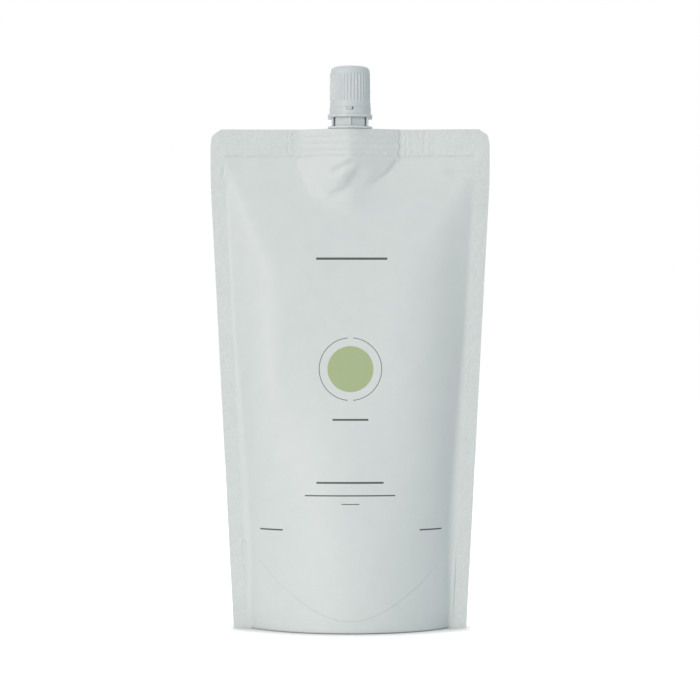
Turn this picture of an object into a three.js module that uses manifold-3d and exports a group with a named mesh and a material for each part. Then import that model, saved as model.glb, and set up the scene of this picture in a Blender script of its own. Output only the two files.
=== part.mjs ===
// A stand-up refill pouch for liquid soap. A filled film pouch carries a spout in its top seal,
// and the spout carries a tamper band and a screw cap with a soft liner.
// Millimetres, +Z up, the front faces -Y, and the pouch stands on the plane Z = 0.
import * as THREE from 'three';
import { mergeVertices } from 'three/addons/utils/BufferGeometryUtils.js';
import Module from 'manifold-3d';

const wasm = await Module();
wasm.setup();

const { lerp, smoothstep } = THREE.MathUtils;

// Fits between the pieces, and how far two shapes of one piece run into each other where they join
const gap = 0.3;
const overlap = 0.2;
const roundSegments = 48;

// Pouch film, measured while it lies flat
const filmWidth = 130;
const filmThickness = 0.2;
const pouchHeight = 232.5;
const sideSeal = 6.3;
const topSeal = 12.6;
const cornerWidth = 5;
const cornerHeight = 7.5;
const cornerBend = 0.31;
const cornerPull = 0.55;

// Filled shape of the pouch
const baseDepth = 58;
const flatBelowSeal = 11.9;
const bulgePower = 0.36;
const bulgeEase = 0.01;
const bulgeSoft = 0.03;
const boatFade = 30;
const boatSpread = 0.6;

// How the film turns back from the middle to the side seals. Heights are shares of the bulge's height, places
// across are shares of the way from the middle to the seal.
const evenBelow = 0.1;
const flatAbove = 0.72;
const edgeFrom = 0.75;
const edgeFull = 1.05;
const turnStart = [0.3, 0.9];
const turnEnd = [0.9, 0.95];
const sealTurn = 0.95;
const runSteps = 60;
const steepestTurn = 2.5;
const halvings = 50;

// Bottom gusset: the curved seal that joins it to the front and back films, and the belly it stands on
const gussetSealRise = 5.8;
const gussetSealSlope = 0.9;
const gussetSealRound = 24;
const bellyHalfWidth = 22;
const bellyShare = 0.46;
const bellyPower = 1.5;

// Spout: the weld foot inside the top seal
const boreRadius = 5;
const boatLength = 44;
const boatHeight = 11;
const boatInset = 0.5;
const boatWall = 3;
const boatTip = 1.6;
const boatCrest = 0.12;
const weldRibCount = 3;
const weldRibHeight = 1.5;
const weldRibDepth = 0.35;
const wrapLength = 1.4;

// Spout: flat-sided flanges, the ribbed neck between them, and the neck that the cap screws onto
const flangeOverhang = 0.57;
const flangeLip = 0.3;
const flangeBow = 12;
const lowerFlangeHeight = 0.8;
const ribbedNeckHeight = 4.3;
const upperFlangeHeight = 1.3;
const coreWall = 1.8;
const coreRidge = 8;
const coreShoulder = 5.2;
const neckWall = 2.4;
const neckRibReach = 0.5;
const neckRibWidth = 0.92;
const wingWidth = 1.7;
const wingDrop = 0.95;
const postThickness = 0.95;
const postDepth = 12;
const beadReach = 0.9;
const beadHeight = 0.9;
const mouthChamfer = 0.5;

// Tamper band, and the ratchet lugs that stand in its windows
const bandHeight = 2.8;
const bandLip = 0.8;
const bandStep = 0.08;
const windowWidth = 3.2;
const windowHeight = 1.2;
const windowSlant = 0.42;
const ratchetGap = 0.5;
const lugSink = 0.35;

// Cap and its liner
const capHeight = 19.5;
const crownHeight = 1.9;
const crownDome = 0.4;
const crownChamfer = 0.6;
const shoulderRadius = 2.6;
const shoulderSteps = 5;
const skirtHeight = 2.4;
const skirtWall = 1.05;
const skirtFlare = 0.07;
const skirtStep = 0.1;
const capWall = 0.95;
const gripDraft = 0.1;
const threadRoom = 1.05;
const gripRibCount = 36;
const grooveRadius = 0.5;
const grooveDepth = 0.32;
const grooveEnd = 0.7;
const grooveSides = 8;
const linerThickness = 1;

// Heights that follow from the sizes above
const sealBottom = pouchHeight - topSeal;
const bulgeTop = sealBottom - flatBelowSeal;
const boatTop = pouchHeight - boatInset;
const boatBottom = boatTop - boatHeight;
const lowerFlangeBottom = pouchHeight + gap;
const lowerFlangeTop = lowerFlangeBottom + lowerFlangeHeight;
const upperFlangeBottom = lowerFlangeTop + ribbedNeckHeight;
const upperFlangeTop = upperFlangeBottom + upperFlangeHeight;
const bandBottom = upperFlangeTop + gap;
const bandTop = bandBottom + bandHeight;
const capBottom = bandTop + gap;
const capTop = capBottom + capHeight;
const crownUnderside = capTop - crownHeight;
const linerBottom = crownUnderside - gap - linerThickness;
const mouthTop = linerBottom - gap;
const skirtTop = capBottom + skirtHeight;

// Radii and half widths that follow from the sizes above
const boatHalfThickness = boreRadius + boatWall;
const coreHalf = boreRadius + coreWall;
const neckRadius = boreRadius + neckWall;
const beadRadius = neckRadius + beadReach;
const skirtInside = beadRadius + gap;
const skirtRadius = skirtInside + skirtWall;
const capInside = neckRadius + threadRoom;
const gripRadius = capInside + capWall;
const bandRadius = skirtRadius + bandStep;
const bandLipRadius = beadRadius - bandLip / 2;
const flangeHalf = bandRadius + flangeOverhang;
const flangeFront = bandRadius + flangeLip;
const postOutside = flangeHalf - wingWidth;

// Half widths of the film, along the film from the middle
const filmHalf = filmWidth / 2;
const fillHalf = filmHalf - sideSeal;
const settleHalf = fillHalf * sealTurn;
const boatHalf = boatLength / 2;
const pocketHalf = boatHalf + gap;
const wrapHalf = pocketHalf + wrapLength;

// Runs of evenly spaced stops: steps[i] spaces between stops[i] and stops[i + 1].
function subdivide(stops, steps) {
  const run = [stops[0]];
  steps.forEach((count, part) => {
    const length = stops[part + 1] - stops[part];
    for (let i = 1; i <= count; i += 1) run.push(stops[part] + (length * i) / count);
  });
  return run;
}

// A closed three.js geometry as a solid for boolean work.
function solid(geometry) {
  const bare = geometry.clone();
  bare.deleteAttribute('normal');
  bare.deleteAttribute('uv');
  const welded = mergeVertices(bare, 1e-4);
  const corners = Array.from(welded.index.array);
  const kept = [];
  for (let i = 0; i < corners.length; i += 3) {
    const [a, b, c] = corners.slice(i, i + 3);
    if (a !== b && b !== c && c !== a) kept.push(a, b, c);
  }
  const vertProperties = new Float32Array(welded.attributes.position.array);
  const triVerts = new Uint32Array(kept);
  return new wasm.Manifold(new wasm.Mesh({ numProp: 3, vertProperties, triVerts }));
}

// A solid as a named mesh.
function piece(name, body, material) {
  const mesh = body.getMesh();
  const geometry = new THREE.BufferGeometry();
  geometry.setAttribute('position', new THREE.BufferAttribute(mesh.vertProperties, 3));
  geometry.setIndex(new THREE.BufferAttribute(mesh.triVerts, 1));
  geometry.computeVertexNormals();
  const result = new THREE.Mesh(geometry, material);
  result.name = name;
  return result;
}

// A profile of [radius, height] corners turned about Z. The outer side runs up, the inner side down.
function revolve(profile) {
  const points = profile.map(([radius, height]) => new THREE.Vector2(radius, height));
  return solid(new THREE.LatheGeometry(points, roundSegments).rotateX(Math.PI / 2));
}

// A revolved ring: its profile is closed back to its first corner.
function ring(profile) {
  return revolve([...profile, profile[0]]);
}

// An outline in plan, extruded upward between two heights.
function upright(shape, bottom, top) {
  const geometry = new THREE.ExtrudeGeometry(shape, { depth: top - bottom, bevelEnabled: false });
  return solid(geometry.translate(0, 0, bottom));
}

// An outline seen from the front, extruded back from the front face to the back face.
function fromFront(shape, front, back) {
  const settings = { depth: back - front, bevelEnabled: false, curveSegments: 6 };
  const geometry = new THREE.ExtrudeGeometry(shape, settings);
  return solid(geometry.rotateX(Math.PI / 2).translate(0, back, 0));
}

// A box given by its middle in plan, its size in plan and its two heights.
function block(x, y, width, depth, bottom, top) {
  const geometry = new THREE.BoxGeometry(width, depth, top - bottom);
  return solid(geometry.translate(x, y, (bottom + top) / 2));
}

// A solid skinned over sections that all have the same number of points.
// Point k of a section lies across from point n - 1 - k, which is how the end sections are closed.
function loft(sections) {
  const n = sections[0].length;
  const positions = sections.flat().flatMap((point) => [point.x, point.y, point.z]);
  const index = [];
  for (let s = 0; s + 1 < sections.length; s += 1) {
    for (let k = 0; k < n; k += 1) {
      const here = s * n + k;
      const next = s * n + ((k + 1) % n);
      index.push(here, here + n, next + n, here, next + n, next);
    }
  }
  const last = (sections.length - 1) * n;
  for (let k = 0; k + 1 < n / 2; k += 1) {
    index.push(k, k + 1, n - 2 - k, k, n - 2 - k, n - 1 - k);
    index.push(last + k, last + n - 2 - k, last + k + 1, last + k, last + n - 1 - k, last + n - 2 - k);
  }
  const geometry = new THREE.BufferGeometry();
  geometry.setAttribute('position', new THREE.Float32BufferAttribute(positions, 3));
  geometry.setIndex(index);
  return solid(geometry);
}

// Half thickness of the weld foot, which is a diamond in plan with a rounded crest.
function boatHalfAt(x) {
  const u = Math.min(Math.abs(x) / boatHalf, 1);
  const fall = (Math.hypot(u, boatCrest) - boatCrest) / (Math.hypot(1, boatCrest) - boatCrest);
  return boatHalfThickness + (boatTip - boatHalfThickness) * fall;
}

// How far the contents would push the film out from the middle plane if it turned evenly from seal to seal.
// It starts softly under the top seal and grows fast at first, then ever more slowly.
function fillDepth(z) {
  const straight = (bulgeTop - z) / bulgeTop;
  const down = (straight + Math.hypot(straight, bulgeSoft)) / 2;
  const most = (1 + Math.hypot(1, bulgeSoft)) / 2;
  const start = bulgeEase ** bulgePower;
  const share = ((down + bulgeEase) ** bulgePower - start) / ((most + bulgeEase) ** bulgePower - start);
  const leave = smoothstep(sealBottom - z, 0, flatBelowSeal);
  return (baseDepth / 2 - filmThickness) * share * leave;
}

// The angle at which a falling measure of it comes down to a wanted value.
function angleWhere(measure, wanted) {
  let low = 0;
  let high = steepestTurn;
  for (let i = 0; i < halvings; i += 1) {
    const angle = (low + high) / 2;
    if (measure(angle) > wanted) low = angle;
    else high = angle;
  }
  return (low + high) / 2;
}

// How far the film has turned back at a place across, against the most it turns.
// Low on the pouch it turns evenly. Higher up its middle stays flat and it turns ever nearer to the seal.
function turnAt(share, z) {
  const level = z / bulgeTop;
  const up = smoothstep(level, edgeFrom, edgeFull);
  const late = smoothstep(share, lerp(...turnStart, up), lerp(...turnEnd, up));
  const turn = lerp(share, late, smoothstep(level, evenBelow, flatAbove));
  return turn * (1 - smoothstep(share, sealTurn, 1));
}

// Way to the side and way back that the film makes from the middle as far as reach, measured along the film.
function filmRun(reach, z, most) {
  const run = { side: 0, back: 0 };
  for (let i = 0; i < runSteps; i += 1) {
    const turn = most * turnAt((reach / fillHalf) * ((i + 0.5) / runSteps), z);
    run.side += (reach / runSteps) * Math.cos(turn);
    run.back += (reach / runSteps) * Math.sin(turn);
  }
  return run;
}

// The most that the film turns at that height. It draws the seals in as far as an even turn to the fill depth
// would, while its length between the seals stays the same.
const knownTurns = new Map();
function mostTurn(z) {
  if (!knownTurns.has(z)) {
    const depth = fillDepth(z);
    const even = angleWhere((angle) => -(fillHalf * (1 - Math.cos(angle))) / angle, -depth);
    const width = (fillHalf * Math.sin(even)) / even;
    knownTurns.set(z, angleWhere((angle) => filmRun(fillHalf, z, angle).side, width));
  }
  return knownTurns.get(z);
}

// How far the weld foot holds the film off the middle plane. Under the seal this fades and spreads sideways.
function wrapDepth(across, z) {
  const reach = Math.abs(across);
  const below = Math.max(0, sealBottom - z);
  const spread = boatSpread * below;
  const tail = 1 - smoothstep(reach, pocketHalf - spread / 2, wrapHalf + spread);
  const fade = 1 - smoothstep(below, 0, boatFade);
  return (boatHalfAt(reach) + gap) * tail * fade;
}

// Where a spot of the film lies: its place to the side, and its outer face off the middle plane.
function filmSpot(across, z) {
  const reach = Math.abs(across);
  const most = mostTurn(z);
  const here = filmRun(Math.min(reach, fillHalf), z, most);
  const bulge = Math.max(0, filmRun(fillHalf, z, most).back - here.back);
  const side = here.side + Math.max(0, reach - fillHalf);
  const off = filmThickness + Math.cbrt(bulge ** 3 + wrapDepth(across, z) ** 3);
  return { x: Math.sign(across) * side, off };
}

// Height of the curved gusset seal on the front and back films.
function gussetSeal(across) {
  return gussetSealRise + gussetSealSlope * (Math.hypot(gussetSealRound, across) - gussetSealRound);
}

// Height of the fold that runs along the middle of the gusset.
function gussetFold(across) {
  const past = Math.max(0, Math.abs(across) - bellyHalfWidth) / (fillHalf - bellyHalfWidth);
  return gussetSeal(fillHalf) * past ** 2;
}

// Front half of the section at one place across the film: the underside from the middle out, then the film.
function frontHalf(across, rows) {
  const underside = [];
  const rim = filmSpot(across, 0);
  const inside = Math.abs(across) < fillHalf - 1e-6;
  const top = gussetSeal(across);
  const skirt = filmSpot(across, top);
  const fold = gussetFold(across);
  const shares = [bellyShare / 3, bellyShare, (1 + 2 * bellyShare) / 3, (2 + bellyShare) / 3, 1];
  for (const share of shares) {
    const climb = Math.max(0, (share - bellyShare) / (1 - bellyShare)) ** bellyPower;
    const y = -share * (skirt.off - 2 * filmThickness);
    const onGusset = new THREE.Vector3(skirt.x, y, fold + (top - fold) * climb);
    underside.push(inside ? onGusset : new THREE.Vector3(rim.x, -rim.off, 0));
  }
  const rimInside = inside ? rim.off - 2 * filmThickness : rim.off;
  underside.push(new THREE.Vector3(rim.x, -rimInside, 0));
  const film = rows.map((z) => {
    const spot = filmSpot(across, z);
    return new THREE.Vector3(spot.x, -spot.off, z);
  });
  return [...underside, ...film];
}

// The piece that the corner punch takes off the top of a side seal.
function cornerScrap(sign) {
  const side = sign * filmHalf;
  const inner = sign * (filmHalf - cornerWidth);
  const outer = sign * (filmHalf + overlap);
  const low = pouchHeight - cornerHeight;
  const high = pouchHeight + overlap;
  const scrap = new THREE.Shape();
  scrap.moveTo(inner, pouchHeight);
  scrap.lineTo(side - sign * cornerWidth * cornerBend, pouchHeight - cornerHeight * cornerBend);
  scrap.quadraticCurveTo(side, pouchHeight - cornerHeight * cornerPull, side, low);
  scrap.lineTo(outer, low);
  scrap.lineTo(outer, high);
  scrap.lineTo(inner, high);
  return fromFront(scrap, -filmThickness - overlap, filmThickness + overlap);
}

// Outline of the weld foot in plan, grown by a margin all round.
const boatStops = subdivide([-boatHalf, 0, boatHalf], [6, 6]);
function boatOutline(margin) {
  const stops = margin > 0 ? [-boatHalf - margin, ...boatStops, boatHalf + margin] : boatStops;
  const front = stops.map((x) => new THREE.Vector2(x, -boatHalfAt(x) - margin));
  const back = stops.map((x) => new THREE.Vector2(x, boatHalfAt(x) + margin)).reverse();
  return new THREE.Shape([...front, ...back]);
}

// Pouch: the filled envelope, less the pocket that the weld foot sits in and the punched corners.
function makePouch() {
  const stops = [-filmHalf, -fillHalf, -settleHalf, -wrapHalf, -pocketHalf, -boatHalf, 0];
  const mirrored = stops.slice(0, -1).map((across) => -across).reverse();
  const columns = subdivide([...stops, ...mirrored], [1, 2, 8, 1, 1, 6, 6, 1, 1, 8, 2, 1]);
  const gussetTop = gussetSeal(fillHalf);
  const heights = [0, gussetTop, bulgeTop * edgeFrom, bulgeTop, sealBottom, pouchHeight];
  const rows = subdivide(heights, [6, 6, 8, 3, 2]);
  const sections = columns.map((across) => {
    const front = frontHalf(across, rows);
    const back = front.map((point) => new THREE.Vector3(point.x, -point.y, point.z)).reverse();
    return [...front, ...back];
  });
  const pocket = upright(boatOutline(gap), boatBottom - gap, pouchHeight + overlap);
  return loft(sections).subtract(pocket).subtract(cornerScrap(-1)).subtract(cornerScrap(1));
}

// A plain round rod along Z.
function rod(radius, bottom, top) {
  return revolve([
    [0, bottom],
    [radius, bottom],
    [radius, top],
    [0, top],
  ]);
}

// Spout: weld foot, flanges, ribbed neck and the plain neck that the cap screws onto, with one bore through.
function makeSpout() {
  const neck = revolve([
    [0, upperFlangeBottom],
    [neckRadius, upperFlangeBottom],
    [neckRadius, bandTop - beadHeight],
    [beadRadius, bandTop - beadHeight],
    [beadRadius, bandTop - beadHeight / 2],
    [neckRadius, bandTop],
    [neckRadius, mouthTop - mouthChamfer],
    [neckRadius - mouthChamfer, mouthTop],
    [0, mouthTop],
  ]);
  const parts = [
    rod(boatHalfThickness - weldRibDepth, boatBottom, lowerFlangeTop),
    makeBoat(),
    flangePlate(lowerFlangeBottom, lowerFlangeTop),
    makeCore(),
    makeRails(),
    flangePlate(upperFlangeBottom, upperFlangeTop),
    neck,
    makeLug(),
    makeLug().rotate([0, 0, 180]),
  ];
  const bore = rod(boreRadius, boatBottom - overlap, mouthTop + overlap);
  return wasm.Manifold.union(parts).subtract(bore);
}

// Weld foot: a core with level weld ribs.
function makeBoat() {
  const core = new THREE.Shape(boatOutline(0).getPoints().map(({ x, y }) => {
    const thinner = Math.sign(y) * Math.max(Math.abs(y) - weldRibDepth, boatTip / 4);
    return new THREE.Vector2(x, thinner);
  }));
  const space = (boatHeight - weldRibCount * weldRibHeight) / (weldRibCount + 1);
  let boat = upright(core, boatBottom, boatTop);
  for (let i = 0; i < weldRibCount; i += 1) {
    const bottom = boatBottom + space + i * (space + weldRibHeight);
    boat = boat.add(upright(boatOutline(0), bottom, bottom + weldRibHeight));
  }
  return boat;
}

// An oval plate with two flat sides, which the filling line's rails run along.
function flangePlate(bottom, top) {
  const slab = block(0, 0, 2 * flangeHalf, 2 * flangeBow, bottom - overlap, top + overlap);
  const front = rod(flangeBow, bottom, top).translate([0, flangeBow - flangeFront, 0]);
  return front.intersect(front.rotate([0, 0, 180])).intersect(slab);
}

// Six-sided core between the flanges, with one ridge at the front and one at the back.
function makeCore() {
  const front = [
    new THREE.Vector2(-coreHalf, -coreShoulder),
    new THREE.Vector2(0, -coreRidge),
    new THREE.Vector2(coreHalf, -coreShoulder),
  ];
  const back = front.map(({ x, y }) => new THREE.Vector2(-x, -y));
  return upright(new THREE.Shape([...front, ...back]), lowerFlangeTop - overlap, upperFlangeBottom + overlap);
}

// What stands between the flanges: ribs front and back, and at each side a web, a post and a drop of the
// upper flange.
function makeRails() {
  const bottom = lowerFlangeTop - overlap;
  const top = upperFlangeBottom + overlap;
  const ribLength = 2 * (coreRidge + neckRibReach);
  const webLength = 2 * (postOutside - overlap);
  const parts = [
    block(0, 0, neckRibWidth, ribLength, bottom, top),
    block(0, 0, webLength, neckRibWidth, bottom, top),
  ];
  const drop = flangePlate(upperFlangeBottom - wingDrop, top);
  const wingStart = postOutside - overlap;
  for (const sign of [-1, 1]) {
    parts.push(block(sign * (postOutside - postThickness / 2), 0, postThickness, postDepth, bottom, top));
    const wingMiddle = sign * (wingStart + flangeHalf / 2);
    const beyond = block(wingMiddle, 0, flangeHalf, 2 * flangeBow, bottom, top);
    parts.push(drop.intersect(beyond));
  }
  return wasm.Manifold.union(parts);
}

// The window of the tamper band seen from the front, with one upright end and one slanted end. A margin makes
// it smaller at the upright end and at the bottom, and an end gap at the slanted end.
function windowShape(margin, endGap, top) {
  const floor = bandTop - windowHeight + margin;
  const slantAt = (z) => windowWidth / 2 - endGap - (windowSlant * (bandTop - z)) / windowHeight;
  return new THREE.Shape([
    new THREE.Vector2(margin - windowWidth / 2, floor),
    new THREE.Vector2(slantAt(floor), floor),
    new THREE.Vector2(slantAt(top), top),
    new THREE.Vector2(margin - windowWidth / 2, top),
  ]);
}

// Ratchet lug on the front of the neck. It stands in a window of the band and keeps the band from turning.
function makeLug() {
  return fromFront(windowShape(gap, ratchetGap, bandTop), lugSink - bandRadius, -boreRadius - overlap);
}

// Tamper band: a ring with a lip that hooks under the bead on the neck, and a window at the front and back.
function makeBand() {
  const lipTop = bandTop - beadHeight - gap;
  const band = ring([
    [bandLipRadius, bandBottom],
    [bandRadius, bandBottom],
    [bandRadius, bandTop],
    [skirtInside, bandTop],
    [skirtInside, lipTop],
    [bandLipRadius, lipTop],
  ]);
  const cut = fromFront(windowShape(0, 0, bandTop + overlap), -bandRadius - overlap, -boreRadius);
  return band.subtract(cut).subtract(cut.rotate([0, 0, 180]));
}

// Cap: crown, grip ribs and skirt, open below.
function makeCap() {
  const shoulderBottom = capTop - crownDome - shoulderRadius;
  const shoulderMiddle = gripRadius - gripDraft - shoulderRadius;
  const shoulder = [];
  for (let i = 0; i <= shoulderSteps; i += 1) {
    const turn = (Math.PI / 2) * (i / shoulderSteps);
    const radius = shoulderMiddle + shoulderRadius * Math.cos(turn);
    shoulder.push([radius, shoulderBottom + shoulderRadius * Math.sin(turn)]);
  }
  const cap = revolve([
    [0, crownUnderside],
    [capInside - crownChamfer, crownUnderside],
    [capInside, crownUnderside - crownChamfer],
    [capInside, skirtTop],
    [skirtInside, skirtTop - overlap],
    [skirtInside, capBottom],
    [skirtRadius, capBottom],
    [skirtRadius - skirtFlare, skirtTop - skirtStep],
    [gripRadius, skirtTop + skirtStep],
    ...shoulder,
    [0, capTop],
  ]);
  return cap.subtract(makeGrooves(skirtTop + grooveEnd, shoulderBottom - 2 * grooveEnd));
}

// The grooves between the grip ribs of the cap.
function makeGrooves(bottom, top) {
  const reach = gripRadius - gripDraft / 2 - grooveDepth + grooveRadius;
  const grooves = [];
  for (let i = 0; i < gripRibCount; i += 1) {
    const turn = (2 * Math.PI * (i + 0.5)) / gripRibCount;
    const groove = new THREE.CylinderGeometry(grooveRadius, grooveRadius, top - bottom, grooveSides);
    groove.rotateX(Math.PI / 2);
    groove.rotateZ(turn);
    groove.translate(reach * Math.cos(turn), reach * Math.sin(turn), (top + bottom) / 2);
    grooves.push(solid(groove));
  }
  return wasm.Manifold.union(grooves);
}

// Liner: a soft disc that closes the spout's mouth.
function makeLiner() {
  return rod(capInside - crownChamfer - gap, linerBottom, linerBottom + linerThickness);
}

const film = new THREE.MeshStandardMaterial({ name: 'film', color: 0xd6dcda, roughness: 0.55 });
const moulded = new THREE.MeshStandardMaterial({ name: 'moulded', color: 0xd3d9d7, roughness: 0.5 });
const foam = new THREE.MeshStandardMaterial({ name: 'foam', color: 0xf1f1ee, roughness: 0.9 });

const pack = new THREE.Group();
pack.name = 'refill_pack';
pack.add(piece('pouch', makePouch(), film));
pack.add(piece('spout', makeSpout(), moulded));
pack.add(piece('tamper_band', makeBand(), moulded));
pack.add(piece('cap', makeCap(), moulded));
pack.add(piece('cap_liner', makeLiner(), foam));

export default pack;
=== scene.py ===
"""Looks of a stand-up soap refill pouch: matt film, a welded spout, a tamper band and a ribbed screw cap.

Shapes are worked out in millimetres in the CAD frame (+Z up, the front faces -Y) and turned into metres once.
"""

import math

import bmesh
import bpy
import numpy as np
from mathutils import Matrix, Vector


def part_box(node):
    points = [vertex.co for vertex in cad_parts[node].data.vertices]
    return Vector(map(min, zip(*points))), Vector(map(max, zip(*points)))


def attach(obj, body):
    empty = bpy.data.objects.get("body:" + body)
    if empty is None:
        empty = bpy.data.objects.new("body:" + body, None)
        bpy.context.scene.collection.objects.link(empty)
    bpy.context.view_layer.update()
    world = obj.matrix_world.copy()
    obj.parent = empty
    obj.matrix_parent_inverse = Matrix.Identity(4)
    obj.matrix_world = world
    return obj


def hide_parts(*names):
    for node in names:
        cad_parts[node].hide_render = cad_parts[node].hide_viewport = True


MM = 0.001
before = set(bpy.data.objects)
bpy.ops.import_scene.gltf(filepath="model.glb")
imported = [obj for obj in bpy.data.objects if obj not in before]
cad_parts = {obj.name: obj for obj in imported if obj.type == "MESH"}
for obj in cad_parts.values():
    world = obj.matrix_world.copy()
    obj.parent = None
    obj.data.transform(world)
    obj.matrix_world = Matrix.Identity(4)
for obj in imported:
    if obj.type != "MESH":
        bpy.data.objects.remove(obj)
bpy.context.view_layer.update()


def node_box(node):
    """Lowest and highest corner of a CAD node, in millimetres."""
    low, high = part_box(node)
    return np.array(low) / MM, np.array(high) / MM


pouch_low, pouch_high = node_box("pouch")
spout_low, spout_high = node_box("spout")
band_low, band_high = node_box("tamper_band")
cap_low, cap_high = node_box("cap")
liner_low, liner_high = node_box("cap_liner")

# Pouch film, lying flat
FILM_HALF = (pouch_high[0] - pouch_low[0]) / 2
POUCH_TOP = pouch_high[2]
FILM = 0.2
SIDE_SEAL = 6.3
TOP_SEAL = 12.6
CORNER_WIDTH = 5.0
CORNER_HEIGHT = 7.5
CORNER_BEND = 0.31
CORNER_POWER = 1.6
FILL_HALF = FILM_HALF - SIDE_SEAL
SEAL_BOTTOM = POUCH_TOP - TOP_SEAL

# Filled shape of the pouch
BASE_HALF_DEPTH = (pouch_high[1] - pouch_low[1]) / 2
FLAT_BELOW_SEAL = 11.9
BULGE_TOP = SEAL_BOTTOM - FLAT_BELOW_SEAL
BULGE_POWER = 0.36
BULGE_EASE = 0.01
BULGE_SOFT = 0.03

# How the film turns back towards the side seals. Heights are shares of the bulge's height, places across are
# shares of the way from the middle to the seal, angles radians.
EVEN_BELOW = 0.1
FLAT_ABOVE = 0.72
EDGE_FROM = 0.75
EDGE_FULL = 1.05
LEFT_START = 0.5
LEFT_END = 0.92
RIGHT_START = 0.3
RIGHT_END = 0.9
TOP_START = 0.9
TOP_END = 0.95
SETTLE_BASE = 0.935
SETTLE_LOW = 0.89
SETTLE_HIGH = 0.95
SETTLE_DROP = (0.03, 0.2)
SETTLE_RISE = (0.25, 0.75)
RUN_STEPS = 96
LEVEL_STEPS = 160
ANGLE_STEPS = 200
ANGLE_RANGE = (1e-4, 1.9)

# Bottom gusset
GUSSET_RISE = 5.8
GUSSET_SLOPE = 0.9
GUSSET_ROUND = 24.0
BELLY_SHARE = 0.45
BELLY_POWER = 1.5
RIM_CURL = 1.2
RIM_CURL_HEIGHT = 0.9
RIM_CURL_END = 4.0

# Spout: the weld foot
GAP = 0.3
BORE = 5.0
BOAT_HALF = (spout_high[0] - spout_low[0]) / 2
BOAT_BOTTOM = spout_low[2]
BOAT_TOP = POUCH_TOP - 0.5
BOAT_HALF_THICKNESS = 8.0
BOAT_TIP = 0.6
BOAT_CREST = 0.12
WELD_RIBS = 3
WELD_RIB_HEIGHT = 1.5
WELD_RIB_DEPTH = 0.35
WELD_RIB_SPACE = (BOAT_TOP - BOAT_BOTTOM - WELD_RIBS * WELD_RIB_HEIGHT) / (WELD_RIBS + 1)
WELD_LIP = 1.2

# Film over the weld foot, and how far it stands off below the seal
WRAP_INSET = 0.2
WRAP_LENGTH = 1.3
WRAP_SWAY = 0.22
WRAP_SWAY_RATE = 1.1
WRAP_SPREAD = 0.6
FRONT_FADE = 45.0
BACK_FADE = 30.0
POCKET_DEPTH = 1.4

# Dented facet of the front film under the weld foot, in film millimetres
FOLD_START = (22.4, 219.3)
FOLD_END = (12.0, 207.0)
FOLD_MIDDLE = (3.3, 225.0)
FOLD_RADIUS = 19.7
FOLD_STEP = 1.6
FOLD_WIDTH = (-0.6, 2.4)
FOLD_HEIGHTS = (200.0, 216.0)
FOLD_SLOPE = 0.4
FOLD_BLEND = 0.6
DENT_TOP = (0.0, 3.5)
DENT_BOTTOM = (22.0, 10.0)

# Creases: start and end on the film, widths on the left and right of the way, depth
FRONT_CREASES = (
    ((-7.8, 212.2), (2.0, 217.4), 2.6, 3.2, 1.0),
    ((-8.8, 202.0), (0.4, 205.2), 2.4, 5.0, 0.8),
    ((-1.2, 205.6), (5.6, 215.6), 2.8, 6.0, 0.75),
    ((46.0, 212.4), (56.5, 210.6), 3.0, 3.0, 0.5),
    ((-59.0, 210.0), (-58.4, 217.5), 1.2, 0.8, 0.3),
)
BACK_CREASES = (
    ((-1.0, 217.6), (8.0, 209.0), 1.8, 5.0, 0.9),
    ((-21.5, 218.0), (-12.0, 206.5), 4.0, 1.6, 0.8),
    ((14.0, 208.0), (20.5, 217.5), 4.0, 1.6, 0.7),
)
CREASE_START = (-0.25, 0.25)
CREASE_END = (1.15, 0.6)

# Pillow between the creases of the front film
PILLOW_AT = (10.0, 211.0)
PILLOW_SQUASH = 0.8
PILLOW_WIDTH = 3.5
PILLOW_HEIGHT = 0.35

# Upright wrinkles across the top seal: place across, depth
FRONT_WRINKLES = ((-28.6, 0.3), (24.6, 0.25), (26.4, 0.25), (32.6, 0.2), (35.2, 0.15))
BACK_WRINKLES = ((-31.0, 0.4), (-25.0, 0.3), (27.4, 0.45), (29.8, 0.3))
WRINKLE_SWAY = 0.35
WRINKLE_SWAY_RATE = 1.3
WRINKLE_FOOT = (0.3, 1.5)
WRINKLE_HEAD = (0.0, 1.5)
WRINKLE_STEP = 0.7
WRINKLE_WIDTH = 0.5

# What both films carry: weld ribs showing through, lines along the seals, slack
RIB_SHOW = 0.24
RIB_SHOW_EDGE = 0.5
RIB_SHOW_END = (0.2, 0.9)
SEAL_LINE_INSET = 0.4
SIDE_LINE_DEPTH = 0.03
SIDE_LINE_WIDTH = 0.5
TOP_LINE_DEPTH = 0.25
TOP_LINE_WIDTH = 0.6
SEAL_LINE_END = 1.0
SLACK_DEPTH = 0.25
SLACK_RATE = (0.11, 0.061)
SLACK_SWAY = 0.8
SLACK_SWAY_RATE = 0.043
SLACK_SHIFT = 0.6
SLACK_FROM_SIDE = (0.0, 14.0)
SLACK_FROM_TOP = (8.0, 30.0)
RELIEF_FOOT = 3.0

# Waving of the seals, and how far the top corners lean to the front
WAVE_DEPTH = 0.4
WAVE_RATE = 0.052
WAVE_SHIFT = 0.9
WAVE_EDGE = 10.0
WAVE_FOOT = 25.0
LEAN_HEIGHT = 30.0
LEFT_LEAN = 1.0
RIGHT_LEAN = 3.0

# Mesh of the pouch: stops, and the number of spaces between them
COLUMN_STOPS = (0, BOAT_HALF, BOAT_HALF + 2, 40, 54, FILL_HALF, FILM_HALF)
COLUMN_SPACES = (40, 8, 26, 16, 14, 10)
ROW_STOPS = (0, RIM_CURL_HEIGHT, 45, 160, 196, SEAL_BOTTOM)
ROW_SPACES = (4, 36, 38, 24, 46)
SEAL_SPACES = 36
GUSSET_STOPS = (0.02, BELLY_SHARE, 1)
GUSSET_SPACES = (8, 14)
TINY = 1e-6

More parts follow.
